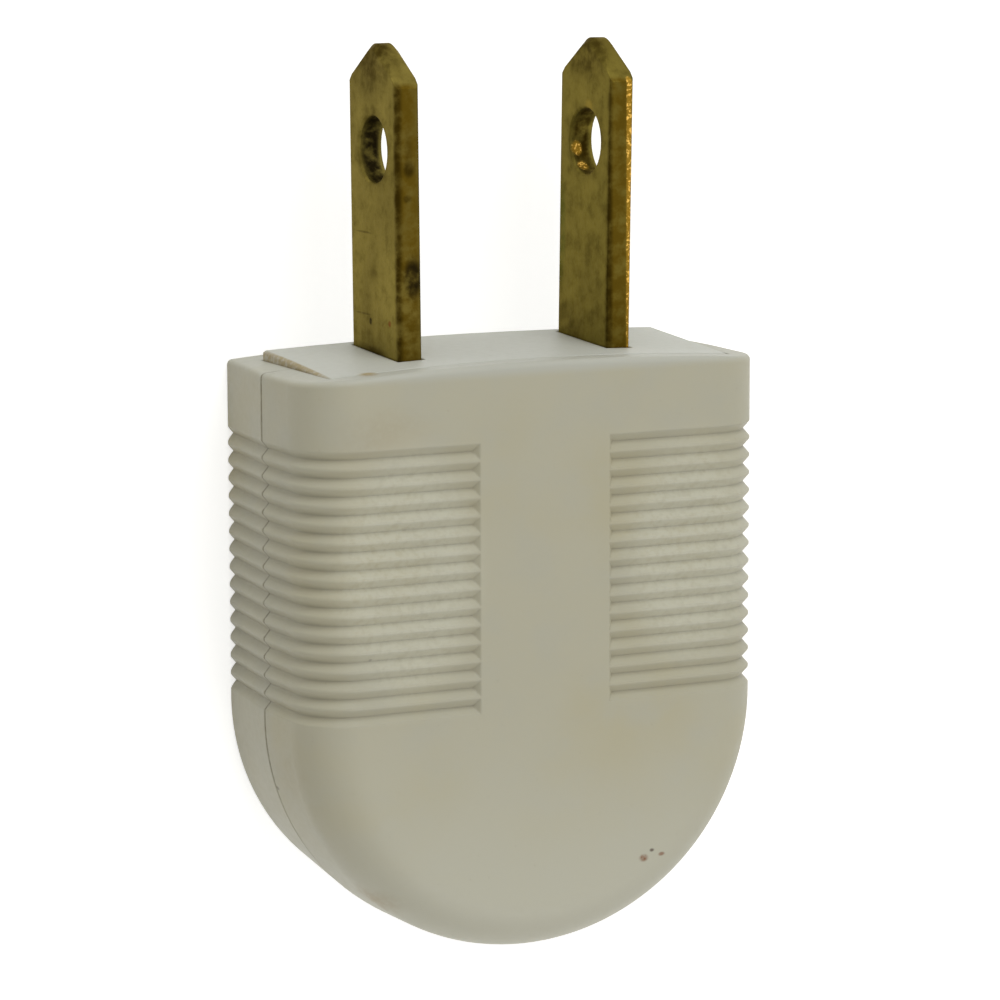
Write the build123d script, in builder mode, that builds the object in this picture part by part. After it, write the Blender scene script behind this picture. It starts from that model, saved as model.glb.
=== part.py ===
# Rewirable two-blade mains plug, lying on the flat back of its rear cover.
# +Y points from the rounded end to the blade tips and +Z from the back to the ribbed front.
# The origin is under the middle of the whole plug, on the plane of the back.
import os
from math import atan2, degrees, radians, sqrt, tan

from build123d import *

# Driving dimensions in millimetres: the housing
body_width = 28.0
body_length = 33.1
rear_depth = 6.4
front_depth = 6.4
end_height = 13.6
rear_draft = 0.6
front_draft = 0.15
front_radius = 3.0
inner_radius = 1.4
face_crown = 0.6
edge_radius = 0.3
wall = 1.4
back_lip = 2.2
seam_bevel = 0.12
rim_height = 0.8
rim_thickness = 0.8
fit = 0.05

# Grip ribs: V grooves round the front and both sides, with a plain band down the middle
groove_count = 15
groove_pitch = 1.0
groove_depth = 0.38
groove_mouth = 0.88
groove_overcut = 0.04
first_groove = 4.7
band_width = 7.85
band_side_angle = 50

# Insulating carrier that closes the face and holds the blades
carrier_side_wall = 1.9
carrier_neck = 4.0
carrier_flange = 2.0
carrier_flange_depth = 7.0
carrier_lift = 0.39
carrier_back_crown = 0.27
carrier_edge = 0.12
slot_gap = 0.1

# Blades
blade_spacing = 12.7
blade_length = 17.0
blade_width = 6.15
blade_thickness = 1.42
blade_from_back = 6.1
blade_edge_radius = 0.22
shoulder_drop = 2.3
tip_rise = 0.62
tip_width = 3.0
tip_corner_radius = 0.4
blade_hole_diameter = 3.65
blade_hole_height = 11.25
hole_chamfer = 0.12

# Terminals at the inner end of each blade
fold_height = 3.5
fold_radius = 0.4
flag_gap = 0.8
flag_height = 7.0
flag_corner = 1.0
terminal_tip_gap = 0.145
terminal_head_margin = 0.5
terminal_head_height = 1.9
clamp_plate_margin = 0.3
clamp_plate_web = 1.28
clamp_plate_thickness = 0.7
thread_gap = 0.02
screw_gap = 0.15
pocket_gap = 0.2
seat_stop_height = 1.2
seat_stop_width = 1.0

# Screw that holds the two shells together, and the insert it goes into
cover_screw_diameter = 3.0
cover_screw_length = 7.4
cover_head_diameter = 5.4
cover_head_height = 2.0
cover_head_sink = 0.3
cover_boss_diameter = 8.0
insert_diameter = 4.4
insert_length = 4.0
insert_groove_depth = 0.22
insert_groove_width = 0.8
boss_wall = 1.2

# Cord inlet and cord clamp
inlet_radius = 3.2
inlet_collar_wall = 1.3
inlet_collar_length = 3.6
inlet_mouth = 0.8
clamp_from_end = 9.6
clamp_bar_length = 16.6
clamp_bar_width = 4.6
clamp_bar_thickness = 1.8
clamp_bar_back = 3.2
clamp_rib_height = 0.5
clamp_rib_width = 1.0
clamp_screw_spacing = 11.8
clamp_screw_diameter = 2.5
clamp_screw_length = 6.2
clamp_head_diameter = 4.5
clamp_head_height = 1.4
clamp_boss_wall = 1.25
saddle_width = 1.6
saddle_gap = 3.6

# Driver slots and the broken edges of the screws, as shares of each screw
slot_width = 0.8
slot_share = 0.5
head_chamfer_share = 0.15
tip_chamfer_share = 0.15

# Sizes that follow
body_depth = rear_depth + front_depth
face_y = (body_length - blade_length) / 2
end_y = face_y - body_length
end_centre_y = end_y + end_height
half_width = body_width / 2
cavity_half = half_width - wall
front_inner = body_depth - wall
crown_radius = (half_width**2 + face_crown**2) / (2 * face_crown)

neck_y = face_y - carrier_neck
carrier_bottom = neck_y - carrier_flange
carrier_back = back_lip + fit
carrier_front = front_inner - fit
carrier_half = half_width - carrier_side_wall
opening_half = carrier_half + fit

blade_front = blade_from_back + blade_width / 2
blade_back = blade_from_back - blade_width / 2
blade_outer = blade_spacing / 2 + blade_thickness / 2
blade_inner = blade_spacing / 2 - blade_thickness / 2
plate_end_y = carrier_bottom - fold_height
flag_end_y = plate_end_y - flag_height
flag_back = blade_front - blade_thickness
flag_width = cavity_half - flag_gap - blade_inner
flag_x = blade_inner + flag_width / 2
terminal_y = (plate_end_y + flag_end_y) / 2
terminal_head_base = flag_back - clamp_plate_thickness
terminal_head_diameter = flag_width - 2 * terminal_head_margin
terminal_screw_length = front_inner - terminal_tip_gap - terminal_head_base
clamp_plate_size = flag_width - 2 * clamp_plate_margin
terminal_screw_diameter = clamp_plate_size - 2 * clamp_plate_web

cover_head_base = cover_head_sink + cover_head_height
boss_radius = insert_diameter / 2 + boss_wall

inlet_z = rear_depth
collar_radius = inlet_radius + inlet_collar_wall
clamp_y = end_y + clamp_from_end
clamp_bar_front = clamp_bar_back + clamp_bar_thickness
clamp_boss_radius = clamp_screw_diameter / 2 + clamp_boss_wall


def crown_drop(x):
    """How far the crowned face lies below its top at a distance from the middle."""
    return crown_radius - sqrt(crown_radius**2 - x**2)


def body_outline(height, inset):
    """U outline of the housing at a height, with the sides and the end moved in by the inset."""
    half = half_width - inset
    corner_y = face_y - crown_drop(half)
    with BuildSketch(Plane.XY.offset(height)) as outline:
        with BuildLine():
            Line((-half, corner_y), (-half, end_centre_y))
            EllipticalCenterArc((0, end_centre_y), half, end_height - inset, start_angle=180, arc_size=180)
            Line((half, end_centre_y), (half, corner_y))
            ThreePointArc((half, corner_y), (0, face_y), (-half, corner_y))
        make_face()
    return outline.sketch


def cavity_outline(height, inset):
    """U outline of the hollow below the carrier's neck, moved in from the walls by the inset."""
    half = cavity_half - inset
    with BuildSketch(Plane.XY.offset(height)) as outline:
        with BuildLine():
            Line((-half, neck_y), (-half, end_centre_y))
            end_radius = end_height - wall - inset
            EllipticalCenterArc((0, end_centre_y), half, end_radius, start_angle=180, arc_size=180)
            Polyline((half, end_centre_y), (half, neck_y), (-half, neck_y))
        make_face()
    return outline.sketch


def screw(base, direction, head_diameter, head_height, diameter, length):
    """Slotted cheese-head screw: the head's underside is at base and the shank points along direction."""
    plane = Plane(origin=base, x_dir=(1, 0, 0), z_dir=direction)
    with BuildPart() as body:
        with BuildSketch(plane):
            Circle(head_diameter / 2)
        extrude(amount=-head_height)
        chamfer(body.edges().group_by(Axis(base, direction))[0], head_height * head_chamfer_share)
        with BuildSketch(plane):
            Circle(diameter / 2)
        extrude(amount=length)
        chamfer(body.edges().group_by(Axis(base, direction))[-1], diameter * tip_chamfer_share)
        with BuildSketch(plane.offset(-head_height)):
            Rectangle(head_diameter, slot_width)
        extrude(amount=head_height * slot_share, mode=Mode.SUBTRACT)
    return body.part


def save(part, name):
    """Label a finished piece and write it to its own file."""
    part.label = name
    export_step(part, f"parts/{name}.step")


# Grip: one ring cutter for each groove, which leaves the plain band and the back untouched
groove_ys = [face_y - first_groove - row * groove_pitch for row in range(groove_count)]
groove_angle = degrees(atan2(groove_depth, groove_mouth / 2))
cutter_half = groove_mouth / 2 + groove_overcut
rear_half = half_width - rear_draft
front_half = half_width - front_draft
band_height = 4 * wall
band_foot_width = band_width + band_height / tan(radians(band_side_angle))
section_back = -2 * wall
section_back_half = rear_half + rear_draft * section_back / rear_depth

with BuildPart() as groove:
    with BuildSketch(Plane.XZ):
        with Locations((0, body_depth / 2)):
            Rectangle(body_width + 4 * wall, body_depth + 2 * wall)
    extrude(amount=cutter_half, both=True)
    with BuildSketch(Plane.XZ) as core:
        with BuildLine():
            Polyline(
                (-section_back_half, section_back),
                (-half_width, rear_depth),
                (-front_half, body_depth),
                (front_half, body_depth),
                (half_width, rear_depth),
                (section_back_half, section_back),
                close=True,
            )
        make_face()
        fillet(core.vertices().group_by(Axis.Y)[-1], front_radius)
        offset(amount=-groove_depth, kind=Kind.INTERSECTION, mode=Mode.REPLACE)
    extrude(amount=cutter_half, both=True, taper=-groove_angle, mode=Mode.SUBTRACT)
    with BuildSketch(Plane.XZ):
        with Locations((0, body_depth)):
            Trapezoid(band_foot_width, band_height, band_side_angle)
    extrude(amount=groove_pitch, both=True, mode=Mode.SUBTRACT)

with BuildPart() as grip:
    with Locations([(0, y) for y in groove_ys]):
        add(groove.part)

# Seam: a fine V where the two shells meet round the sides and the end
with BuildPart() as seam:
    with Locations((0, end_centre_y, rear_depth)):
        Box(2 * body_width, 2 * body_length, 2 * seam_bevel)
    add(body_outline(rear_depth, seam_bevel))
    extrude(amount=seam_bevel, both=True, taper=-45, mode=Mode.SUBTRACT)

# Cord inlet: a bore with a flared mouth, along the seam between the shells
with BuildPart() as inlet:
    with BuildSketch(Plane.XZ.offset(-end_y)):
        with Locations((0, inlet_z)):
            Circle(inlet_radius + inlet_mouth)
    with BuildSketch(Plane.XZ.offset(-end_y - inlet_mouth)):
        with Locations((0, inlet_z)):
            Circle(inlet_radius)
    loft()
    with BuildSketch(Plane.XZ.offset(-end_y)):
        with Locations((0, inlet_z)):
            Circle(inlet_radius)
    extrude(amount=-wall - 2 * inlet_collar_length)


def collar_half(side):
    """Half of the collar inside the inlet: side is 1 for the front shell and -1 for the rear cover."""
    with BuildPart() as collar:
        with BuildSketch(Plane.XZ.offset(-end_y - wall / 2)):
            with Locations((0, inlet_z)):
                Circle(collar_radius)
                align = Align.MAX if side > 0 else Align.MIN
                Rectangle(4 * collar_radius, 2 * collar_radius, align=(Align.CENTER, align), mode=Mode.SUBTRACT)
        extrude(amount=-wall / 2 - inlet_collar_length)
    return collar.part


def rim_ring(height, inset, gap_half):
    """Ring along the walls below the carrier, with a gap of twice gap_half at the inlet."""
    with BuildSketch(Plane.XY.offset(height)) as ring:
        add(cavity_outline(0, inset))
        add(cavity_outline(0, fit + rim_thickness), mode=Mode.SUBTRACT)
        with Locations((0, carrier_bottom - fit)):
            Rectangle(body_width, body_width, align=(Align.CENTER, Align.MIN), mode=Mode.SUBTRACT)
        if gap_half:
            with Locations((0, end_centre_y)):
                Rectangle(2 * gap_half, body_length, align=(Align.CENTER, Align.MAX), mode=Mode.SUBTRACT)
    return ring.sketch


# Front shell: ribbed tub with the terminal seats, the screw boss and the cord clamp's saddle
with BuildPart() as front_cavity:
    add(cavity_outline(rear_depth, 0))
    extrude(amount=front_depth - wall)
    rounded = front_cavity.faces().sort_by(Axis.Z)[-1].edges().sort_by(Axis.Y)[:-1]
    fillet(rounded, inner_radius)

with BuildPart() as front_shell:
    loft([body_outline(rear_depth, 0).face(), body_outline(body_depth, front_draft).face()], ruled=True)
    front_edges = front_shell.faces().sort_by(Axis.Z)[-1].edges().sort_by(Axis.Y)
    fillet(front_edges[:-1], front_radius)
    face_edges = front_shell.faces().sort_by(Axis.Y)[-1].edges().filter_by(lambda e: e.center().Z > rear_depth + fit)
    fillet(face_edges, edge_radius)
    add([seam.part, grip.part], mode=Mode.SUBTRACT)
    add(front_cavity.part, mode=Mode.SUBTRACT)
    with Locations((0, neck_y, rear_depth)):
        Box(
            2 * opening_half,
            2 * carrier_neck,
            front_inner - rear_depth,
            align=(Align.CENTER, Align.MIN, Align.MIN),
            mode=Mode.SUBTRACT,
        )
    # Seats under the terminal flags, each with a stop that takes the push on its blade
    seat_height = front_inner - blade_front
    for side in (-1, 1):
        with BuildSketch(Plane.XY.offset(blade_front)):
            with Locations((side * flag_x, plate_end_y)):
                Rectangle(flag_width, flag_height + seat_stop_width, align=(Align.CENTER, Align.MAX))
        extrude(amount=seat_height)
        with BuildSketch(Plane.XY.offset(blade_front)):
            with Locations((side * flag_x, flag_end_y - fit)):
                Rectangle(flag_width, seat_stop_width - fit, align=(Align.CENTER, Align.MAX))
        extrude(amount=-seat_stop_height)
        with Locations((side * flag_x, terminal_y, blade_front)):
            Cylinder(
                terminal_screw_diameter / 2 + pocket_gap,
                seat_height,
                align=(Align.CENTER, Align.CENTER, Align.MIN),
                mode=Mode.SUBTRACT,
            )
    # Boss with a pocket for the threaded insert
    with BuildSketch(Plane.XY.offset(rear_depth)):
        with Locations((0, terminal_y)):
            Circle(boss_radius)
    extrude(amount=front_inner - rear_depth)
    with Locations((0, terminal_y, rear_depth)):
        Cylinder(
            insert_diameter / 2,
            insert_length,
            align=(Align.CENTER, Align.CENTER, Align.MIN),
            mode=Mode.SUBTRACT,
        )
    # Cord clamp bosses with the saddle rib between them
    with BuildSketch(Plane.XY.offset(clamp_bar_front)):
        with Locations((0, clamp_y)):
            with GridLocations(clamp_screw_spacing, 0, 2, 1):
                Circle(clamp_boss_radius)
    extrude(amount=front_inner - clamp_bar_front)
    with BuildSketch(Plane.XY.offset(clamp_bar_front + saddle_gap)):
        with Locations((0, clamp_y)):
            Rectangle(clamp_screw_spacing, saddle_width)
    extrude(amount=front_inner - clamp_bar_front - saddle_gap)
    with Locations((0, clamp_y, clamp_bar_front)):
        with GridLocations(clamp_screw_spacing, 0, 2, 1):
            Cylinder(
                clamp_screw_diameter / 2 + thread_gap,
                clamp_screw_length - clamp_bar_thickness + pocket_gap,
                align=(Align.CENTER, Align.CENTER, Align.MIN),
                mode=Mode.SUBTRACT,
            )
    add(collar_half(1))
    add(inlet.part, mode=Mode.SUBTRACT)


# Rear cover: shallow tray with the screw's boss and a rim that locates it in the front shell
with BuildPart() as rear_cavity:
    add(cavity_outline(wall, 0))
    extrude(amount=rear_depth - wall)

with BuildPart() as rear_cover:
    loft([body_outline(0, rear_draft).face(), body_outline(rear_depth, 0).face()], ruled=True)
    outer_edges = rear_cover.faces().sort_by(Axis.Z)[0].edges() + rear_cover.faces().sort_by(Axis.Y)[-1].edges()
    fillet(outer_edges.filter_by(lambda e: e.center().Z < rear_depth - fit), edge_radius)
    add([seam.part, grip.part], mode=Mode.SUBTRACT)
    add(rear_cavity.part, mode=Mode.SUBTRACT)
    with Locations((0, neck_y, back_lip)):
        Box(
            2 * opening_half,
            2 * carrier_neck,
            rear_depth - back_lip,
            align=(Align.CENTER, Align.MIN, Align.MIN),
            mode=Mode.SUBTRACT,
        )
    # Locating rim below the carrier, open where the inlet collar passes it
    add(rim_ring(wall, 0, 0))
    extrude(amount=rear_depth - wall)
    add(rim_ring(rear_depth, fit, collar_radius + fit))
    extrude(amount=rim_height)
    # Boss round the screw, with its head sunk from the back
    with BuildSketch(Plane.XY.offset(wall)):
        with Locations((0, terminal_y)):
            Circle(cover_boss_diameter / 2)
    extrude(amount=rear_depth - wall)
    with Locations(Location((0, terminal_y, 0), (180, 0, 0))):
        CounterBoreHole(
            cover_screw_diameter / 2 + screw_gap,
            cover_head_diameter / 2 + screw_gap,
            cover_head_base,
            depth=rear_depth,
        )
    add(collar_half(-1))
    add(inlet.part, mode=Mode.SUBTRACT)


# Insulating carrier: its top runs from a nearly flat back edge to the crown of the housing
def carrier_section(height, middle_y, edge_y):
    """Neck section of the carrier at a height above the back."""
    with BuildSketch(Plane.XY.offset(height)) as section:
        with BuildLine():
            Polyline((-carrier_half, edge_y), (-carrier_half, neck_y), (carrier_half, neck_y), (carrier_half, edge_y))
            ThreePointArc((carrier_half, edge_y), (0, middle_y), (-carrier_half, edge_y))
        make_face()
    return section.sketch.face()


back_middle = face_y + carrier_lift
with BuildPart() as blade_carrier:
    loft(
        [
            carrier_section(carrier_back, back_middle, back_middle - carrier_back_crown),
            carrier_section(carrier_front, face_y, face_y - crown_drop(carrier_half)),
        ],
        ruled=True,
    )
    chamfer(blade_carrier.faces().sort_by(Axis.Y)[-1].edges(), carrier_edge)
    with Locations((0, carrier_bottom, blade_from_back)):
        Box(
            2 * (cavity_half - fit),
            carrier_flange,
            carrier_flange_depth,
            align=(Align.CENTER, Align.MIN, Align.CENTER),
        )
    with Locations((0, carrier_bottom, carrier_back)):
        Box(
            2 * (cavity_half - inner_radius),
            carrier_flange,
            carrier_front - carrier_back,
            align=(Align.CENTER, Align.MIN, Align.MIN),
        )
    with Locations((0, carrier_bottom, blade_from_back)):
        with GridLocations(blade_spacing, 0, 2, 1):
            Box(
                blade_thickness + 2 * slot_gap,
                4 * (carrier_neck + carrier_flange),
                blade_width + 2 * slot_gap,
                mode=Mode.SUBTRACT,
            )


# Left blade: stamped strip with a pierced tip, folded at its inner end into a terminal flag
shoulder_y = face_y + blade_length - shoulder_drop
tip_y = face_y + blade_length

with BuildPart() as blade_left:
    with BuildSketch(Plane.YZ.offset(-blade_outer)) as strip:
        with BuildLine():
            Polyline(
                (tip_y - tip_rise, blade_from_back - tip_width / 2),
                (shoulder_y, blade_back),
                (plate_end_y, blade_back),
                (plate_end_y, blade_front),
                (shoulder_y, blade_front),
                (tip_y - tip_rise, blade_from_back + tip_width / 2),
            )
            ThreePointArc(
                (tip_y - tip_rise, blade_from_back + tip_width / 2),
                (tip_y, blade_from_back),
                (tip_y - tip_rise, blade_from_back - tip_width / 2),
            )
        make_face()
        fillet(strip.vertices().group_by(Axis.X)[-1], tip_corner_radius)
    extrude(amount=blade_thickness)
    long_edges = blade_left.edges().filter_by(Axis.Y)
    fillet(long_edges, blade_edge_radius)
    # Hole near the tip with both rims broken
    with Locations(Plane(origin=(-blade_outer, face_y + blade_hole_height, blade_from_back), z_dir=(-1, 0, 0))):
        Hole(blade_hole_diameter / 2, depth=blade_thickness)
    rims = blade_left.edges().filter_by(GeomType.CIRCLE).filter_by(
        lambda e: abs(e.radius - blade_hole_diameter / 2) < thread_gap
    )
    chamfer(rims, hole_chamfer)
    # Fold along the front edge, then the flag that takes the terminal screw
    with BuildSketch(Plane.XZ.offset(-plate_end_y)) as fold:
        with BuildLine():
            Polyline(
                (-blade_inner, blade_back),
                (-blade_inner, blade_front),
                (-blade_inner - flag_width, blade_front),
                (-blade_inner - flag_width, flag_back),
                (-blade_outer, flag_back),
                (-blade_outer, blade_back),
                close=True,
            )
        make_face()
        inside = fold.vertices().sort_by_distance((-blade_outer, flag_back))[0]
        fillet(inside, fold_radius)
        outside = fold.vertices().sort_by_distance((-blade_inner, blade_front))[0]
        fillet(outside, fold_radius + blade_thickness)
    extrude(amount=-fold_height)
    with BuildSketch(Plane.XY.offset(flag_back)) as flag:
        with Locations((-flag_x, plate_end_y)):
            Rectangle(flag_width, flag_height, align=(Align.CENTER, Align.MAX))
        fillet(flag.vertices().group_by(Axis.Y)[0], flag_corner)
        with Locations((-flag_x, terminal_y)):
            Circle(terminal_screw_diameter / 2 + thread_gap, mode=Mode.SUBTRACT)
    extrude(amount=blade_thickness)

with BuildPart() as blade_right:
    add(blade_left.part)
    mirror(about=Plane.YZ, mode=Mode.REPLACE)


# Square pressure plate under each terminal screw
with BuildPart() as clamp_plate_left:
    with BuildSketch(Plane.XY.offset(terminal_head_base)) as plate:
        with Locations((-flag_x, terminal_y)):
            Rectangle(clamp_plate_size, clamp_plate_size)
        fillet(plate.vertices(), flag_corner / 2)
        with Locations((-flag_x, terminal_y)):
            Circle(terminal_screw_diameter / 2 + screw_gap, mode=Mode.SUBTRACT)
    extrude(amount=clamp_plate_thickness)

with BuildPart() as clamp_plate_right:
    add(clamp_plate_left.part)
    mirror(about=Plane.YZ, mode=Mode.REPLACE)


# Threaded insert: brass bush with two knurled bands, modelled as plain rings
with BuildPart() as cover_insert:
    with Locations((0, terminal_y, rear_depth)):
        Cylinder(insert_diameter / 2, insert_length, align=(Align.CENTER, Align.CENTER, Align.MIN))
        Cylinder(
            cover_screw_diameter / 2 + thread_gap,
            insert_length,
            align=(Align.CENTER, Align.CENTER, Align.MIN),
            mode=Mode.SUBTRACT,
        )
    with BuildSketch(Plane.XZ.offset(-terminal_y)):
        with Locations((insert_diameter / 2, rear_depth + insert_length / 2)):
            Rectangle(insert_groove_depth * 2, insert_groove_width)
    revolve(axis=Axis((0, terminal_y, 0), (0, 0, 1)), mode=Mode.SUBTRACT)


# Cord clamp: bar with round ends and a pressing rib towards the cord
with BuildPart() as cord_clamp:
    with BuildSketch(Plane.XY.offset(clamp_bar_back)):
        with Locations((0, clamp_y)):
            SlotOverall(clamp_bar_length, clamp_bar_width)
            with GridLocations(clamp_screw_spacing, 0, 2, 1):
                Circle(clamp_screw_diameter / 2 + screw_gap, mode=Mode.SUBTRACT)
    extrude(amount=clamp_bar_thickness)
    with BuildSketch(Plane.XY.offset(clamp_bar_front)):
        with Locations((0, clamp_y)):
            Rectangle(clamp_screw_spacing - 2 * clamp_boss_radius, clamp_rib_width)
    extrude(amount=clamp_rib_height)


cover_screw = screw(
    (0, terminal_y, cover_head_base),
    (0, 0, 1),
    cover_head_diameter,
    cover_head_height,
    cover_screw_diameter,
    cover_screw_length,
)

os.makedirs("parts", exist_ok=True)
save(front_shell.part, "front_shell")
save(rear_cover.part, "rear_cover")
save(blade_carrier.part, "blade_carrier")
save(blade_left.part, "blade_left")
save(blade_right.part, "blade_right")
save(clamp_plate_left.part, "clamp_plate_left")
save(clamp_plate_right.part, "clamp_plate_right")
save(cover_insert.part, "cover_insert")
save(cord_clamp.part, "cord_clamp")
save(cover_screw, "cover_screw")
for side, name in ((-1, "left"), (1, "right")):
    terminal_screw = screw(
        (side * flag_x, terminal_y, terminal_head_base),
        (0, 0, 1),
        terminal_head_diameter,
        terminal_head_height,
        terminal_screw_diameter,
        terminal_screw_length,
    )
    save(terminal_screw, f"terminal_screw_{name}")
    clamp_screw = screw(
        (side * clamp_screw_spacing / 2, clamp_y, clamp_bar_back),
        (0, 0, 1),
        clamp_head_diameter,
        clamp_head_height,
        clamp_screw_diameter,
        clamp_screw_length,
    )
    save(clamp_screw, f"cord_clamp_screw_{name}")
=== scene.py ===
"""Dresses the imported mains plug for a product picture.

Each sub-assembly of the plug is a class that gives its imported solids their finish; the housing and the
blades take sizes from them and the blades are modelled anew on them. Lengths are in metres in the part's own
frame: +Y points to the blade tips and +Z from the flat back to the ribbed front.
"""

import logging
import math
from dataclasses import dataclass

import bpy
from mathutils import Matrix, Vector


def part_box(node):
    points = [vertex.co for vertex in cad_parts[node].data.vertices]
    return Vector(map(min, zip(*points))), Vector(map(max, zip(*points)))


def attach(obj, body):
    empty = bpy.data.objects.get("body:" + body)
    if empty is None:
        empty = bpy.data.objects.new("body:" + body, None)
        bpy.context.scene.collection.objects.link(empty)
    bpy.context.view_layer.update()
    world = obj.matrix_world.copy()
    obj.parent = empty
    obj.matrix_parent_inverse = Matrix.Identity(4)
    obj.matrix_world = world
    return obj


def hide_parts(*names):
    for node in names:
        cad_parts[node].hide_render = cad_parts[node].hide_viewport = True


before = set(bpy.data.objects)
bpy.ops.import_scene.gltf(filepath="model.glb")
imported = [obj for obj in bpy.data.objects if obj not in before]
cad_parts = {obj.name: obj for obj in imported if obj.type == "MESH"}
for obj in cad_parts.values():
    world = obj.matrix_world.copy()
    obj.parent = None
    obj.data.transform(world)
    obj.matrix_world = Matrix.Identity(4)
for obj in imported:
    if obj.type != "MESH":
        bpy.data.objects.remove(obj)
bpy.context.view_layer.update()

log = logging.getLogger("plug")
MM = 0.001

Triple = tuple[float, float, float]
Socket = bpy.types.NodeSocket


def srgb(red: int, green: int, blue: int) -> Triple:
    """Linear colour from display values of 0 to 255."""
    shares = [value / 255 for value in (red, green, blue)]
    return tuple(s / 12.92 if s <= 0.04045 else ((s + 0.055) / 1.055) ** 2.4 for s in shares)


def place(x: float, y: float, z: float) -> Triple:
    """Point in metres from millimetres."""
    return x * MM, y * MM, z * MM


class NodeTree:
    """Short way to add and join the nodes of one material."""

    round_samples: int = 8
    hollow_samples: int = 16

    def __init__(self, name: str) -> None:
        """Start an empty node material.

        Args:
            name: the material's name.
        """
        self.material = bpy.data.materials.new(name)
        self.material.use_nodes = True
        self.tree = self.material.node_tree
        self.shader = self.tree.nodes["Principled BSDF"]
        self.place = self.node("ShaderNodeTexCoord").outputs["Object"]

    def node(self, kind: str, **settings: object) -> bpy.types.Node:
        """Add a node and set its properties.

        Args:
            kind: the node's type name.
            settings: attributes of the node by name.

        Returns:
            The new node.
        """
        new = self.tree.nodes.new(kind)
        for key, value in settings.items():
            setattr(new, key, value)
        return new

    def join(self, source: Socket, target: Socket) -> None:
        """Link two sockets."""
        self.tree.links.new(source, target)

    def moved(self, offset: Triple, scale: Triple) -> Socket:
        """Object coordinates shifted and stretched.

        Args:
            offset: shift in metres, before the stretch.
            scale: stretch along each axis.

        Returns:
            The vector socket.
        """
        mapping = self.node("ShaderNodeMapping")
        mapping.inputs["Location"].default_value = [-o * s for o, s in zip(offset, scale)]
        mapping.inputs["Scale"].default_value = scale
        self.join(self.place, mapping.inputs["Vector"])
        return mapping.outputs["Vector"]

    def noise(
        self,
        size: float,
        detail: float = 3.0,
        rough: float = 0.55,
        stretch: Triple = (1.0, 1.0, 1.0),
        offset: Triple = (0.0, 0.0, 0.0),
    ) -> Socket:
        """Noise from 0 to 1 with blotches of a real size.

        Args:
            size: rough width of one blotch in metres.
            detail: octaves.
            rough: share of the fine octaves.
            stretch: stretch of the pattern along each axis.
            offset: shift that tells one pattern from the next.

        Returns:
            The value socket.
        """
        noise = self.node("ShaderNodeTexNoise")
        noise.inputs["Scale"].default_value = 1.0 / size
        noise.inputs["Detail"].default_value = detail
        noise.inputs["Roughness"].default_value = rough
        self.join(self.moved(offset, stretch), noise.inputs["Vector"])
        return noise.outputs["Fac"]

    def ramp(self, value: Socket, low: float, high: float, to: tuple[float, float] = (0.0, 1.0)) -> Socket:
        """Value clipped and stretched from one range to another.

        Args:
            value: the socket to map.
            low: input that gives the first output.
            high: input that gives the second output.
            to: the two outputs.

        Returns:
            The mapped socket.
        """
        mapped = self.node("ShaderNodeMapRange", clamp=True, interpolation_type="SMOOTHSTEP")
        for key, number in zip(("From Min", "From Max", "To Min", "To Max"), (low, high, *to)):
            mapped.inputs[key].default_value = number
        self.join(value, mapped.inputs["Value"])
        return mapped.outputs["Result"]

    def along(self, axis: int, low: float, high: float) -> Socket:
        """Share that rises from 0 to 1 between two places along one axis.

        Args:
            axis: 0, 1 or 2 for X, Y or Z.
            low: place in metres that gives 0.
            high: place in metres that gives 1.

        Returns:
            The share socket.
        """
        split = self.node("ShaderNodeSeparateXYZ")
        self.join(self.place, split.inputs[0])
        return self.ramp(split.outputs[axis], low, high)

    def times(self, first: Socket, second: Socket | float) -> Socket:
        """Product of a socket and a second socket or number."""
        step = self.node("ShaderNodeMath", operation="MULTIPLY")
        self.join(first, step.inputs[0])
        if isinstance(second, (int, float)):
            step.inputs[1].default_value = second
        else:
            self.join(second, step.inputs[1])
        return step.outputs[0]

    def blend(self, share: Socket, first: Socket | Triple, second: Socket | Triple) -> Socket:
        """Colour that goes from the first to the second as the share rises.

        Args:
            share: 0 gives the first colour, 1 the second.
            first: a colour or a colour socket.
            second: a colour or a colour socket.

        Returns:
            The colour socket.
        """
        mix = self.node("ShaderNodeMix", data_type="RGBA")
        self.join(share, mix.inputs["Factor"])
        for socket, colour in ((mix.inputs[6], first), (mix.inputs[7], second)):
            if isinstance(colour, tuple):
                socket.default_value = (*colour, 1.0)
            else:
                self.join(colour, socket)
        return mix.outputs[2]

    def spot(self, centre: Triple, reach: Triple, edge: float) -> Socket:
        """Soft ball that is 1 at its centre and 0 outside, for one mark at a known place.

        Args:
            centre: the mark's middle in metres.
            reach: its half size along each axis in metres.
            edge: share of the reach over which it fades.

        Returns:
            The mask socket.
        """
        length = self.node("ShaderNodeVectorMath", operation="LENGTH")
        self.join(self.moved(centre, tuple(1.0 / r for r in reach)), length.inputs[0])
        return self.ramp(length.outputs["Value"], 1.0, 1.0 - edge)

    def bump(self, height: Socket, distance: float, under: Socket) -> Socket:
        """Surface relief from a height socket, laid over another normal.

        Args:
            height: height from 0 to 1.
            distance: real height of 1 in metres.
            under: normal that the relief lies on.

        Returns:
            The normal socket.
        """
        bump = self.node("ShaderNodeBump")
        bump.inputs["Distance"].default_value = distance
        self.join(height, bump.inputs["Height"])
        self.join(under, bump.inputs["Normal"])
        return bump.outputs["Normal"]

    def rounded(self, radius: float) -> Socket:
        """Normal that rounds every sharp edge by a small radius."""
        bevel = self.node("ShaderNodeBevel", samples=self.round_samples)
        bevel.inputs["Radius"].default_value = radius
        return bevel.outputs["Normal"]


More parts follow.
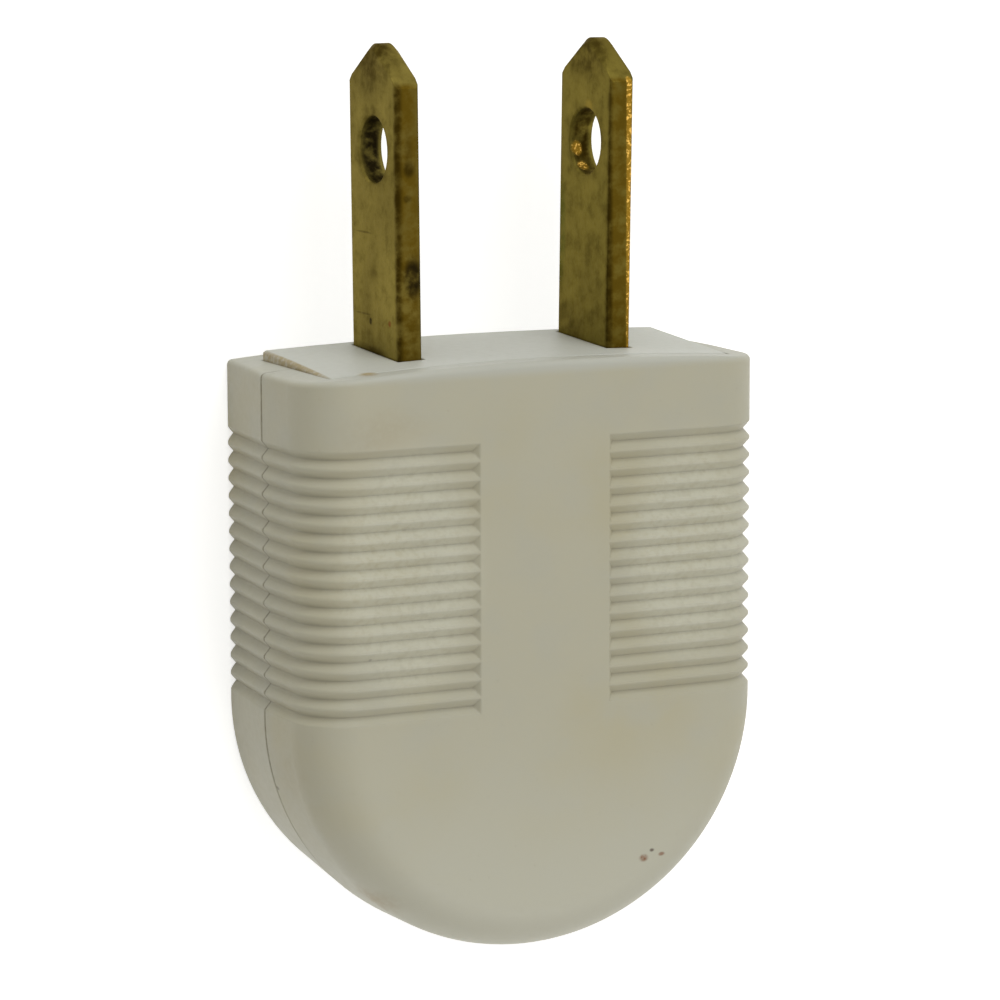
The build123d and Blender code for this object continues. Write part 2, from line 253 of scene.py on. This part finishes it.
@dataclass(frozen=True)
class Mark:
    """One stain, speck, rub or painted patch of light or shade at a known place on a surface."""

    centre: Triple
    reach: Triple
    colour: Triple
    strength: float = 0.8
    edge: float = 0.7

    def lay(self, net: NodeTree, colour: Socket, ragged: Socket) -> Socket:
        """Lay the mark over a colour.

        Args:
            net: the material's nodes.
            colour: the colour under the mark.
            ragged: noise that frays the mark's outline.

        Returns:
            The colour socket with the mark on it.
        """
        frayed = net.ramp(ragged, 0.3, 0.6, (0.45, 1.0))
        mask = net.times(net.spot(self.centre, self.reach, self.edge), frayed)
        return net.blend(net.times(mask, self.strength), colour, self.colour)


@dataclass(frozen=True)
class AgedPlastic:
    """Ivory moulding plastic with a dull skin, faint yellow patches and darker tan in its grooves, with
    painted top light near the top face and painted bounce light towards the rounded end.
    """

    name: str
    base: Triple = srgb(186, 182, 160)
    yellowed: Triple = srgb(184, 177, 147)
    greyed: Triple = srgb(182, 180, 163)
    # lighter colour painted near the top face as light from above
    painted_top_light: Triple = srgb(190, 190, 178)
    dark_tan: Triple = srgb(130, 112, 82)
    hollow_reach: float = 0.5 * MM
    hollow_share: float = 0.3
    top_light_from: float = 0.0
    top_light_to: float = 0.0
    # lighter colour painted towards the rounded end as bounce light
    painted_bounce_light: Triple = srgb(194, 192, 174)
    bounce_light_from: float = -9 * MM
    bounce_light_to: float = -24 * MM
    grey_share: float = 0.6
    fleck_share: float = 0.16
    faint_hollow_share: float = 0.7
    broad_size: float = 11 * MM
    patch_size: float = 3.2 * MM
    patch_shift: Triple = (0.02, 0.01, 0.0)
    fine_size: float = 0.4 * MM
    grain_size: float = 0.11 * MM
    swell: float = 0.05 * MM
    dent: float = 0.012 * MM
    pit: float = 0.006 * MM
    grain: float = 0.0015 * MM
    roughness: tuple[float, float] = (0.45, 0.58)
    gloss_level: float = 0.4
    glow_through: float = 0.08
    glow_reach: Triple = (1.2 * MM, 1.0 * MM, 0.7 * MM)
    edge_round: float = 0.18 * MM
    marks: tuple[Mark, ...] = ()

    def build(self) -> bpy.types.Material:
        """Make the node material.

        Returns:
            The material.
        """
        net = NodeTree(self.name)
        broad = net.noise(self.broad_size, 2.0)
        patch = net.noise(self.patch_size, 3.0, offset=self.patch_shift)
        fine = net.noise(self.fine_size, 4.0, 0.6)
        grain = net.noise(self.grain_size, 2.0, 0.5)
        colour = net.blend(net.ramp(broad, 0.4, 0.7), self.base, self.yellowed)
        colour = net.blend(net.ramp(patch, 0.4, 0.75, (0.0, self.grey_share)), colour, self.greyed)
        # Painted bounce light: lighter towards the rounded end.
        colour = net.blend(net.along(1, self.bounce_light_from, self.bounce_light_to), colour, self.painted_bounce_light)
        # Painted top light: lighter near the top face.
        colour = net.blend(net.along(1, self.top_light_from, self.top_light_to), colour, self.painted_top_light)
        colour = net.blend(net.ramp(fine, 0.64, 0.84, (0.0, self.fleck_share)), colour, self.dark_tan)
        # Darker tan in tight hollows, found by ambient occlusion and fainter where the patch noise is low.
        hollow_dark = net.times(self.hollows(net), net.ramp(patch, 0.25, 0.6, (self.faint_hollow_share, 1.0)))
        colour = net.blend(hollow_dark, colour, self.dark_tan)
        for mark in self.marks:
            colour = mark.lay(net, colour, fine)
        net.join(colour, net.shader.inputs["Base Color"])
        rough = net.ramp(fine, 0.3, 0.75, self.roughness)
        net.join(rough, net.shader.inputs["Roughness"])
        net.shader.inputs["Specular IOR Level"].default_value = self.gloss_level
        net.shader.inputs["Subsurface Weight"].default_value = self.glow_through
        net.shader.inputs["Subsurface Radius"].default_value = self.glow_reach
        net.shader.inputs["Subsurface Scale"].default_value = 1.0
        normal = net.bump(broad, self.swell, net.rounded(self.edge_round))
        normal = net.bump(patch, self.dent, normal)
        normal = net.bump(fine, self.pit, normal)
        normal = net.bump(grain, self.grain, normal)
        net.join(normal, net.shader.inputs["Normal"])
        return net.material

    def hollows(self, net: NodeTree) -> Socket:
        """Share of the dark tan, which rises where a hollow is tight."""
        hollow = net.node("ShaderNodeAmbientOcclusion", samples=net.hollow_samples, only_local=True)
        hollow.inputs["Distance"].default_value = self.hollow_reach
        return net.ramp(hollow.outputs["AO"], 0.82, 0.3, (0.0, self.hollow_share))


@dataclass(frozen=True)
class TarnishedBrass:
    """Old blade brass: matt olive-brown bloom, dark in its corners, golden where it is rubbed and with
    painted highlight specks at listed places.
    """

    name: str
    clean: Triple = srgb(126, 113, 54)
    dull: Triple = srgb(106, 94, 43)
    dark: Triple = srgb(64, 51, 14)
    edge_tint: Triple = (0.72, 0.66, 0.54)
    # colour of painted highlight specks
    painted_glint: Triple = srgb(236, 190, 92)
    blotch_share: float = 0.4
    fine_share: float = 0.35
    drawn_share: float = 0.25
    bloom_size: float = 4.5 * MM
    bloom_stretch: Triple = (1.0, 0.5, 1.0)
    blotch_size: float = 0.9 * MM
    blotch_shift: Triple = (0.01, 0.03, 0.02)
    fine_size: float = 0.16 * MM
    drawn_size: float = 0.3 * MM
    drawn_stretch: Triple = (1.0, 0.06, 1.0)
    drawn_shift: Triple = (0.0, 0.01, 0.02)
    blotch_height: float = 0.012 * MM
    scratch_height: float = 0.006 * MM
    roughness: tuple[float, float] = (0.4, 0.65)
    edge_round: float = 0.12 * MM
    marks: tuple[Mark, ...] = ()
    rubs_and_glints: tuple[Mark, ...] = ()

    def build(self) -> bpy.types.Material:
        """Make the node material.

        Returns:
            The material.
        """
        net = NodeTree(self.name)
        bloom = net.noise(self.bloom_size, 3.0, stretch=self.bloom_stretch)
        blotch = net.noise(self.blotch_size, 4.0, 0.6, offset=self.blotch_shift)
        fine = net.noise(self.fine_size, 3.0, 0.6)
        drawn = net.noise(self.drawn_size, 3.0, 0.7, stretch=self.drawn_stretch, offset=self.drawn_shift)
        colour = net.blend(net.ramp(bloom, 0.35, 0.65), self.clean, self.dull)
        colour = net.blend(net.ramp(blotch, 0.5, 0.78, (0.0, self.blotch_share)), colour, self.dark)
        colour = net.blend(net.ramp(fine, 0.55, 0.8, (0.0, self.fine_share)), colour, self.dark)
        colour = net.blend(net.ramp(drawn, 0.6, 0.8, (0.0, self.drawn_share)), colour, self.dark)
        for mark in self.marks:
            colour = mark.lay(net, colour, blotch)
        # Rubbed golden places and painted highlights: each lays its colour, then specks of painted highlight
        # inside it.
        for line in self.rubs_and_glints:
            mask = net.spot(line.centre, line.reach, line.edge)
            colour = net.blend(net.times(mask, line.strength), colour, line.colour)
            glint_specks = net.times(mask, net.ramp(fine, 0.52, 0.62))
            colour = net.blend(glint_specks, colour, self.painted_glint)
        net.join(colour, net.shader.inputs["Base Color"])
        net.shader.inputs["Metallic"].default_value = 1.0
        net.shader.inputs["Specular Tint"].default_value = (*self.edge_tint, 1.0)
        rough = net.ramp(blotch, 0.3, 0.75, self.roughness)
        net.join(rough, net.shader.inputs["Roughness"])
        normal = net.bump(blotch, self.blotch_height, net.rounded(self.edge_round))
        normal = net.bump(drawn, self.scratch_height, normal)
        normal = net.bump(fine, self.scratch_height, normal)
        net.join(normal, net.shader.inputs["Normal"])
        return net.material


@dataclass(frozen=True)
class PlatedSteel:
    """Zinc-plated screw steel with turned marks."""

    name: str
    base: Triple = srgb(176, 176, 170)
    clouded: Triple = srgb(140, 138, 128)
    cloud_size: float = 1.2 * MM
    fine_size: float = 0.15 * MM
    fine_height: float = 0.003 * MM
    edge_round: float = 0.05 * MM
    roughness: tuple[float, float] = (0.34, 0.49)

    def build(self) -> bpy.types.Material:
        """Make the node material.

        Returns:
            The material.
        """
        net = NodeTree(self.name)
        cloud = net.noise(self.cloud_size, 3.0)
        fine = net.noise(self.fine_size, 3.0)
        colour = net.blend(net.ramp(cloud, 0.35, 0.7), self.base, self.clouded)
        net.join(colour, net.shader.inputs["Base Color"])
        net.shader.inputs["Metallic"].default_value = 1.0
        rough = net.ramp(cloud, 0.3, 0.7, self.roughness)
        net.join(rough, net.shader.inputs["Roughness"])
        normal = net.bump(fine, self.fine_height, net.rounded(self.edge_round))
        net.join(normal, net.shader.inputs["Normal"])
        return net.material


def dress(node: str, material: bpy.types.Material) -> None:
    """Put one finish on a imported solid.

    Args:
        node: the solid's name.
        material: its finish.
    """
    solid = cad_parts[node]
    solid.data.materials.clear()
    solid.data.materials.append(material)
    log.info("dressed %s with %s", node, material.name)


@dataclass
class Housing:
    """Front shell and rear cover with the screw that holds them together."""

    face_y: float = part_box("front_shell")[1][1]
    speck: Triple = srgb(72, 52, 40)
    rust: Triple = srgb(132, 88, 56)
    tan: Triple = srgb(164, 146, 110)
    # lighter colour painted on the ribbed fields as highlight
    painted_rib_highlight: Triple = srgb(203, 201, 182)
    seam: Triple = srgb(124, 114, 92)

    def specks_and_painted_light(self) -> tuple[Mark, ...]:
        """Specks and stains that the front and the seam carry, with painted shade on the lower left corner
        and painted highlights on the two ribbed fields.
        """
        return (
            Mark(place(-10.38, -7.58, 12.6), place(0.16, 0.12, 0.5), self.speck, 0.95),
            Mark(place(6.1, -20.2, 12.7), place(0.38, 0.28, 0.8), self.rust, 1.0),
            Mark(place(6.61, -19.8, 12.7), place(0.2, 0.14, 0.8), self.speck, 0.8),
            Mark(place(7.25, -20.1, 12.7), place(0.3, 0.16, 0.8), self.rust, 0.85),
            Mark(place(-13.6, -15.5, 6.6), place(0.5, 0.2, 0.35), self.speck, 0.9),
            # Painted shade where the rounded front-left corner turns into the rounded end.
            Mark(place(-12.2, -14.0, 9.0), place(2.5, 2.2, 3.0), self.tan, 0.3, 1.0),
            Mark(place(-9.4, -21.4, 10.4), place(3.4, 1.3, 2.2), self.tan, 0.5, 1.0),
            Mark(place(-9.5, 4.4, 12.8), place(4.0, 2.4, 1.5), self.tan, 0.25, 1.0),
            Mark(place(-9.9, 7.7, 11.6), place(0.75, 0.45, 0.6), self.tan, 0.9),
            Mark(place(-13.9, -4.0, 6.4), place(1.4, 60.0, 0.13), self.seam, 0.75, 0.6),
            # Painted highlights: the two ribbed fields are laid lighter, as their crests catch the light.
            Mark(place(-8.2, -3.0, 11.0), place(5.4, 9.0, 5.0), self.painted_rib_highlight, 0.8, 0.4),
            Mark(place(9.2, -3.0, 9.0), place(6.0, 9.0, 8.0), self.painted_rib_highlight, 0.85, 0.4),
        )

    def build(self) -> None:
        """Dress the two shells, their screw and its insert."""
        plastic = AgedPlastic(
            "ivory_plastic",
            # painted top light on the shell's top rim
            top_light_from=self.face_y - 0.9 * MM,
            top_light_to=self.face_y - 0.3 * MM,
            marks=self.specks_and_painted_light(),
        ).build()
        for shell in ("front_shell", "rear_cover"):
            dress(shell, plastic)
        dress("cover_screw", PlatedSteel("cover_screw_steel").build())
        dress("cover_insert", TarnishedBrass("insert_brass", dull=srgb(160, 134, 76)).build())


@dataclass
class BladeCarrier:
    """Insulating block that closes the face round the blades."""

    # dark colour of stains and of painted shade
    soot_and_shade: Triple = srgb(70, 64, 52)
    tan: Triple = srgb(168, 152, 114)

    def marks(self) -> tuple[Mark, ...]:
        """Slots round the blades darkened as painted shade, and the small marks on the face."""
        return (
            # Painted shade in the slot round each blade.
            Mark(place(-6.35, 8.2, 6.1), place(1.25, 0.6, 3.7), self.soot_and_shade, 0.5, 0.6),
            Mark(place(6.35, 8.2, 6.1), place(1.25, 0.6, 3.7), self.soot_and_shade, 0.5, 0.6),
            Mark(place(-12.1, 7.8, 6.2), place(0.3, 0.6, 7.5), self.tan, 1.0, 0.5),
            Mark(place(-9.9, 7.75, 11.3), place(0.7, 0.4, 0.5), self.tan, 1.0),
            Mark(place(1.5, 8.35, 2.2), place(1.3, 0.16, 0.14), self.soot_and_shade, 0.8, 0.5),
            Mark(place(-1.1, 8.35, 2.2), place(0.8, 0.16, 0.1), self.soot_and_shade, 0.5, 0.5),
            Mark(place(-1.0, 8.0, 11.4), place(1.3, 0.2, 0.16), self.soot_and_shade, 0.7, 0.5),
        )

    def build(self) -> None:
        """Dress the carrier."""
        plastic = AgedPlastic(
            "carrier_plastic",
            base=srgb(199, 200, 189),
            yellowed=srgb(195, 194, 178),
            greyed=srgb(191, 192, 183),
            # painted top light on the carrier's upper part
            painted_top_light=srgb(202, 203, 193),
            top_light_from=6.0 * MM,
            top_light_to=8.0 * MM,
            marks=self.marks(),
        ).build()
        dress("blade_carrier", plastic)


@dataclass
class Blades:
    """Two pierced blades with domed tips, stains, a rubbed edge, painted shade inside their holes and painted
    highlights on the right one, each leaning a little from use.

    A lean is a turn about Z in degrees, seen from the ribbed front.
    """

    # near-black colour of stains and of painted shade inside the hole
    soot_and_shade: Triple = srgb(30, 24, 10)
    umber: Triple = srgb(50, 38, 6)
    ochre: Triple = srgb(148, 114, 34)
    red: Triple = srgb(110, 60, 24)
    moss: Triple = srgb(84, 84, 30)
    straw: Triple = srgb(150, 130, 56)
    edge: Triple = srgb(88, 70, 16)
    bent_at: float = 7.9 * MM
    past_bend: float = 0.01 * MM
    lean_left: float = 0.5
    lean_right: float = -0.9
    dome_radius: float = 1.45 * MM
    dome_bevel: float = 0.36 * MM
    dome_angles: tuple[int, ...] = (-32, -20, -10, 0, 10, 20, 32)
    smooth_angle: float = 24.0
    merge: float = 0.0002 * MM

    def cut(self, point: Vector, normal: Vector, clear: bool) -> None:
        """Cut the mesh that is being edited along a plane.

        Args:
            point: a point of the plane.
            normal: the plane's direction, towards what may be taken off.
            clear: whether the side that the normal points to is taken off and closed.
        """
        bpy.ops.mesh.select_all(action="SELECT")
        bpy.ops.mesh.bisect(
            plane_co=point, plane_no=normal, use_fill=clear, clear_outer=clear, threshold=self.merge
        )

    def dome(self, low: Vector, high: Vector) -> None:
        """Round the tip over its width and take its two edges down.

        Args:
            low: lowest corner of the bare length.
            high: highest corner of the bare length.
        """
        middle = (low.z + high.z) / 2
        for angle in self.dome_angles:
            turn = math.radians(angle)
            out = Vector((0.0, math.cos(turn), math.sin(turn)))
            centre = Vector((0.0, high.y - self.dome_radius, middle))
            if angle:
                self.cut(centre + out * self.dome_radius, out, True)
            for face, side in ((low.x, -1.0), (high.x, 1.0)):
                corner = centre + out * (self.dome_radius - self.dome_bevel)
                corner.x = face
                self.cut(corner, (out + Vector((side, 0.0, 0.0))).normalized(), True)

    def copy_solid(self, node: str) -> bpy.types.Object:
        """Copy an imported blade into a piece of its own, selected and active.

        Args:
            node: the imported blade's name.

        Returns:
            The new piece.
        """
        bpy.ops.object.select_all(action="DESELECT")
        piece = bpy.data.objects.new(f"worn_{node}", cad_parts[node].data.copy())
        bpy.context.scene.collection.objects.link(piece)
        piece.select_set(True)
        bpy.context.view_layer.objects.active = piece
        return piece

    def bend(self, piece: bpy.types.Object, lean: float, middle: Vector) -> None:
        """Cut the blade round at the face and lean all that is past it.

        Args:
            piece: the blade, in edit mode.
            lean: how far it leans, in degrees.
            middle: the point that it turns about.
        """
        self.cut(Vector((0.0, self.bent_at, 0.0)), Vector((0.0, 1.0, 0.0)), False)
        bpy.ops.object.mode_set(mode="OBJECT")
        for corner in piece.data.vertices:
            corner.select = corner.co.y > self.bent_at + self.past_bend
        bpy.ops.object.mode_set(mode="EDIT")
        bpy.ops.transform.rotate(value=-math.radians(lean), orient_axis="Z", center_override=middle)

    def model(self, side: str, lean: float) -> bpy.types.Object:
        """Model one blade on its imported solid: dome its tip and lean its bare length.

        Args:
            side: left or right.
            lean: how far it leans, in degrees.

        Returns:
            The blade.
        """
        node = f"blade_{side}"
        piece = self.copy_solid(node)
        bare = [corner.co for corner in piece.data.vertices if corner.co.y > self.bent_at]
        low, high = (Vector(pick(point[axis] for point in bare) for axis in range(3)) for pick in (min, max))
        middle = Vector(((low.x + high.x) / 2, self.bent_at, (low.z + high.z) / 2))
        bpy.ops.mesh.customdata_custom_splitnormals_clear()
        bpy.ops.object.mode_set(mode="EDIT")
        bpy.ops.mesh.select_all(action="SELECT")
        bpy.ops.mesh.remove_doubles(threshold=self.merge)
        self.dome(low, high)
        self.bend(piece, lean, middle)
        bpy.ops.object.mode_set(mode="OBJECT")
        bpy.ops.object.shade_smooth_by_angle(angle=math.radians(self.smooth_angle))
        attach(piece, "root")
        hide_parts(node)
        log.info("modelled %s", piece.name)
        return piece

    def marks_left(self) -> tuple[Mark, ...]:
        """Dark corner, blots, scratches and painted shade inside the hole of the left blade."""
        return (
            Mark(place(-6.5, 14.0, 9.4), place(1.2, 90.0, 0.55), self.edge, 1.0, 0.5),
            Mark(place(-7.1, 14.0, 9.17), place(0.42, 90.0, 0.5), self.umber, 1.0, 0.8),
            Mark(place(-6.2, 12.5, 9.17), place(0.75, 1.5, 0.5), self.soot_and_shade, 0.95, 0.6),
            Mark(place(-6.4, 18.4, 9.17), place(0.5, 0.6, 0.4), self.umber, 0.9),
            Mark(place(-6.5, 16.8, 9.17), place(0.35, 0.3, 0.4), self.umber, 0.8),
            Mark(place(-7.06, 9.85, 5.54), place(0.5, 0.24, 0.22), self.soot_and_shade, 1.0, 0.5),
            Mark(place(-7.06, 9.95, 8.04), place(0.5, 0.22, 0.22), self.red, 0.9, 0.5),
            Mark(place(-7.06, 8.1, 5.6), place(0.5, 0.6, 2.6), self.umber, 0.8),
            Mark(place(-7.1, 14.7, 4.8), place(0.5, 0.07, 1.3), self.umber, 0.6, 0.5),
            Mark(place(-7.06, 10.2, 4.6), place(0.5, 0.07, 1.3), self.umber, 0.6, 0.5),
            Mark(place(-6.9, 24.3, 6.1), place(0.9, 2.9, 3.6), self.umber, 0.85, 0.8),
            Mark(place(-6.7, 24.4, 6.1), place(1.3, 3.2, 3.6), self.umber, 0.55, 0.9),
            Mark(place(-7.15, 19.3, 6.1), place(0.6, 2.6, 2.6), self.umber, 0.4, 0.35),
            # Painted shade inside the hole.
            Mark(place(-6.45, 19.3, 6.1), place(0.78, 3.5, 3.5), self.soot_and_shade, 1.0, 0.35),
        )

    def marks_right(self) -> tuple[Mark, ...]:
        """Dark corner, yellow patch, green bloom and painted shade inside the hole of the right blade."""
        return (
            Mark(place(6.3, 14.0, 9.4), place(1.2, 90.0, 0.55), self.edge, 1.0, 0.5),
            Mark(place(5.75, 14.0, 9.17), place(0.34, 90.0, 0.5), self.umber, 0.95, 0.8),
            Mark(place(5.84, 21.2, 6.5), place(0.5, 0.6, 0.7), self.straw, 0.9),
            Mark(place(5.72, 14.0, 3.4), place(0.5, 4.0, 0.7), self.moss, 0.8),
            Mark(place(5.65, 9.0, 5.0), place(0.5, 1.6, 2.2), self.umber, 0.5),
            Mark(place(6.1, 24.3, 6.1), place(0.9, 2.7, 3.6), self.umber, 0.8, 0.8),
            Mark(place(5.8, 19.3, 6.1), place(0.6, 2.6, 2.6), self.umber, 0.4, 0.35),
            # Painted shade inside the hole.
            Mark(place(6.5, 19.3, 6.1), place(0.76, 3.4, 3.4), self.umber, 1.0, 0.35),
        )

    def build(self) -> None:
        """Model and dress both blades."""
        # A rubbed golden line on the front edge with painted highlight specks, and two painted highlights on
        # the hole's wall.
        rubs_and_glints = (
            Mark(place(7.0, 16.1, 9.17), place(0.22, 90.0, 0.3), self.ochre, 0.9, 0.5),
            Mark(place(6.2, 18.8, 4.4), place(0.4, 0.5, 0.5), self.ochre, 0.9, 0.5),
            Mark(place(6.25, 17.9, 5.1), place(0.4, 0.45, 0.5), self.ochre, 0.7, 0.5),
        )
        left = TarnishedBrass("left_blade_brass", marks=self.marks_left()).build()
        right = TarnishedBrass(
            "right_blade_brass",
            clean=srgb(114, 102, 44),
            dull=srgb(97, 86, 36),
            marks=self.marks_right(),
            rubs_and_glints=rubs_and_glints,
        ).build()
        for side, lean, material in (("left", self.lean_left, left), ("right", self.lean_right, right)):
            dress(f"blade_{side}", material)
            piece = self.model(side, lean)
            piece.data.materials.clear()
            piece.data.materials.append(material)


@dataclass
class Terminals:
    """Screws and pressure plates that clamp the cord's wires to the blades."""

    def build(self) -> None:
        """Dress the screws and plates."""
        brass = TarnishedBrass(
            "terminal_brass",
            clean=srgb(186, 158, 92),
            dull=srgb(160, 134, 76),
            dark=srgb(110, 88, 40),
        ).build()
        for side in ("left", "right"):
            dress(f"clamp_plate_{side}", brass)
            dress(f"terminal_screw_{side}", brass)


@dataclass
class CordClamp:
    """Bar and screws that hold the cord inside the housing."""

    def build(self) -> None:
        """Dress the bar and its screws."""
        dress("cord_clamp", AgedPlastic("clamp_plastic").build())
        steel = PlatedSteel("clamp_screw_steel").build()
        for side in ("left", "right"):
            dress(f"cord_clamp_screw_{side}", steel)


@dataclass(frozen=True)
class PhotographCamera:
    """Pinhole camera that looks down on the plug from its left and a little from the blade end.

    turn is how far the view is turned from the front towards the left side, and rise how far towards the
    blade face, both in degrees. The aim is the point that the picture centres on.
    """

    turn: float = 26.04
    rise: float = 9.01
    roll: float = -0.14
    distance: float = 241.2 * MM
    aim_across: float = 0.46 * MM
    aim_y: float = -0.51 * MM
    aim_z: float = 6.1 * MM
    focal_share: float = 4.323
    sensor: float = 36.0
    nearest: float = 10 * MM
    farthest: float = 5.0

    def build(self) -> None:
        """Make the camera and set it as the scene's own."""
        turn, rise, roll = (math.radians(a) for a in (self.turn, self.rise, self.roll))
        look = Vector((math.sin(turn) * math.cos(rise), -math.sin(rise), -math.cos(turn) * math.cos(rise)))
        right = Vector((math.cos(turn), 0.0, math.sin(turn)))
        up = right.cross(look)
        right, up = (
            right * math.cos(roll) + up * math.sin(roll),
            up * math.cos(roll) - right * math.sin(roll),
        )
        across = Vector((math.cos(turn), 0.0, math.sin(turn))) * self.aim_across
        aim = Vector((0.0, self.aim_y, self.aim_z)) + across
        data = bpy.data.cameras.new("view_camera")
        data.sensor_fit = "HORIZONTAL"
        data.sensor_width = self.sensor
        data.lens = self.focal_share * self.sensor
        data.clip_start = self.nearest
        data.clip_end = self.farthest
        camera = bpy.data.objects.new("view_camera", data)
        bpy.context.scene.collection.objects.link(camera)
        axes = Matrix((right, up, -look)).transposed().to_4x4()
        axes.translation = aim - look * self.distance
        camera.matrix_world = axes
        bpy.context.scene.camera = camera


@dataclass(frozen=True)
class Lamp:
    """Square soft lamp that shines on the plug."""

    name: str
    place: Triple
    size: float
    power: float
    colour: Triple = (1.0, 1.0, 1.0)

    def build(self) -> None:
        """Hang the lamp."""
        data = bpy.data.lights.new(self.name, "AREA")
        data.shape = "SQUARE"
        data.size = self.size
        data.energy = self.power
        data.color = self.colour
        lamp = bpy.data.objects.new(self.name, data)
        bpy.context.scene.collection.objects.link(lamp)
        lamp.location = self.place
        lamp.rotation_euler = (-Vector(self.place)).to_track_quat("-Z", "Y").to_euler()


@dataclass(frozen=True)
class Studio:
    """White floor, white surroundings and soft lamps."""

    floor_half: float = 1.2
    floor_paper: Triple = (0.8, 0.8, 0.79)
    floor_roughness: float = 0.9
    floor_glow: float = 0.62
    world_level: float = 0.43
    world_colour: Triple = (1.0, 0.985, 0.95)
    lamps: tuple[Lamp, ...] = (
        Lamp("key", (0.02, 0.46, 0.36), 0.4, 1.4, (0.97, 0.99, 1.0)),
        Lamp("fill", (0.10, -0.26, 0.26), 0.2, 0.3),
    )

    def build(self) -> None:
        """Make the floor, the lamps and the world."""
        self.add_floor()
        self.add_world()
        for lamp in self.lamps:
            lamp.build()

    def seen_share(self, tree: bpy.types.NodeTree) -> Socket:
        """Socket that is 1 for rays that show the background, direct, mirrored or through glass."""
        path = tree.nodes.new("ShaderNodeLightPath")
        share = path.outputs["Is Camera Ray"]
        for ray in ("Is Glossy Ray", "Is Transmission Ray"):
            either = tree.nodes.new("ShaderNodeMath")
            either.operation = "MAXIMUM"
            tree.links.new(share, either.inputs[0])
            tree.links.new(path.outputs[ray], either.inputs[1])
            share = either.outputs[0]
        return share

    def add_world(self) -> None:
        """White to the camera and dimmer as a light."""
        world = bpy.data.worlds.new("surroundings")
        world.use_nodes = True
        tree = world.node_tree
        background = tree.nodes["Background"]
        background.inputs["Color"].default_value = (*self.world_colour, 1.0)
        background.inputs["Strength"].default_value = self.world_level
        white = tree.nodes.new("ShaderNodeBackground")
        mix = tree.nodes.new("ShaderNodeMixShader")
        white.inputs["Color"].default_value = (1.0, 1.0, 1.0, 1.0)
        tree.links.new(self.seen_share(tree), mix.inputs[0])
        tree.links.new(background.outputs[0], mix.inputs[1])
        tree.links.new(white.outputs[0], mix.inputs[2])
        tree.links.new(mix.outputs[0], tree.nodes["World Output"].inputs["Surface"])
        bpy.context.scene.world = world

    def add_floor(self) -> None:
        """Plain floor that is white to the camera and keeps the plug's faint shadow."""
        bpy.ops.object.select_all(action="DESELECT")
        bpy.ops.mesh.primitive_plane_add(size=2 * self.floor_half, location=(0, 0, 0))
        floor = bpy.context.object
        floor.name = "floor"
        material = bpy.data.materials.new("floor_paper")
        material.use_nodes = True
        tree = material.node_tree
        shader = tree.nodes["Principled BSDF"]
        shader.inputs["Base Color"].default_value = (*self.floor_paper, 1.0)
        shader.inputs["Roughness"].default_value = self.floor_roughness
        glow = tree.nodes.new("ShaderNodeEmission")
        strength = tree.nodes.new("ShaderNodeMath")
        strength.operation = "MULTIPLY"
        strength.inputs[1].default_value = self.floor_glow
        both = tree.nodes.new("ShaderNodeAddShader")
        tree.links.new(self.seen_share(tree), strength.inputs[0])
        tree.links.new(strength.outputs[0], glow.inputs["Strength"])
        tree.links.new(shader.outputs[0], both.inputs[0])
        tree.links.new(glow.outputs[0], both.inputs[1])
        tree.links.new(both.outputs[0], tree.nodes["Material Output"].inputs["Surface"])
        floor.data.materials.append(material)


def main() -> None:
    """Build every sub-assembly, the camera and the studio."""
    logging.basicConfig(level=logging.INFO, format="%(message)s")
    bpy.context.scene.view_settings.view_transform = "Standard"
    for part in (Housing(), BladeCarrier(), Blades(), Terminals(), CordClamp(), PhotographCamera(), Studio()):
        part.build()


if __name__ == "__main__":
    main()
